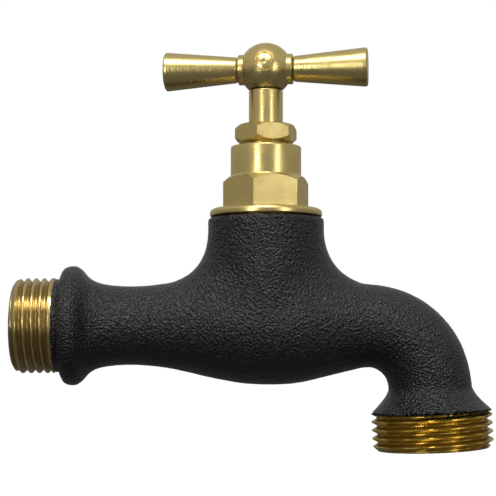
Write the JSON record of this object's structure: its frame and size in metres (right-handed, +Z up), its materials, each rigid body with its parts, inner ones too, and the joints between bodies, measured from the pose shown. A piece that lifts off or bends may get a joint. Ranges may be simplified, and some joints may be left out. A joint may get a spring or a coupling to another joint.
{
  "type": "hose bib",
  "caption": "Garden tap with a threaded wall inlet, a bent spout with a hose thread, a screw-down valve and a T handle.",
  "frame": {"origin": "centre of the inlet's end face, on the inlet's axis", "axes": "+X from the inlet towards the outlet, +Z up along the spindle, +Y across the tap"},
  "size_m": [0.1053, 0.0264, 0.0907],
  "materials": {
    "black_paint": "satin paint over a cast surface",
    "brass": "machined",
    "rubber": "matt",
    "fibre": "matt",
    "graphite": "matt"
  },
  "bodies": {
    "tap_body": {"body": "black_paint", "bonnet": "brass", "bonnet_gasket": "fibre", "gland_nut": "brass", "packing_washer": "brass", "packing_ring_lower": "graphite", "packing_ring_upper": "graphite"},
    "valve": {"jumper": "brass", "seat_washer": "rubber", "washer_nut": "brass"},
    "handle": {"spindle": "brass", "handle_ball": "brass", "cross_stud": "brass", "handle_arm_right": "brass", "handle_arm_left": "brass"}
  },
  "joints": [
    {"name": "valve_lift", "type": "slide", "parent": "tap_body", "child": "valve", "axis": [0, 0, 1], "range_m": [0, 0.0045]},
    {"name": "handle_turn", "type": "hinge", "parent": "valve", "child": "handle", "pos_m": [0.0555, 0, 0.05723], "axis": [0, 0, 1], "range_deg": [0, 810]}
  ],
  "couplings": [
    {"joint": "valve_lift", "follows": "handle_turn", "m_per_rad": 0.00031831}
  ]
}
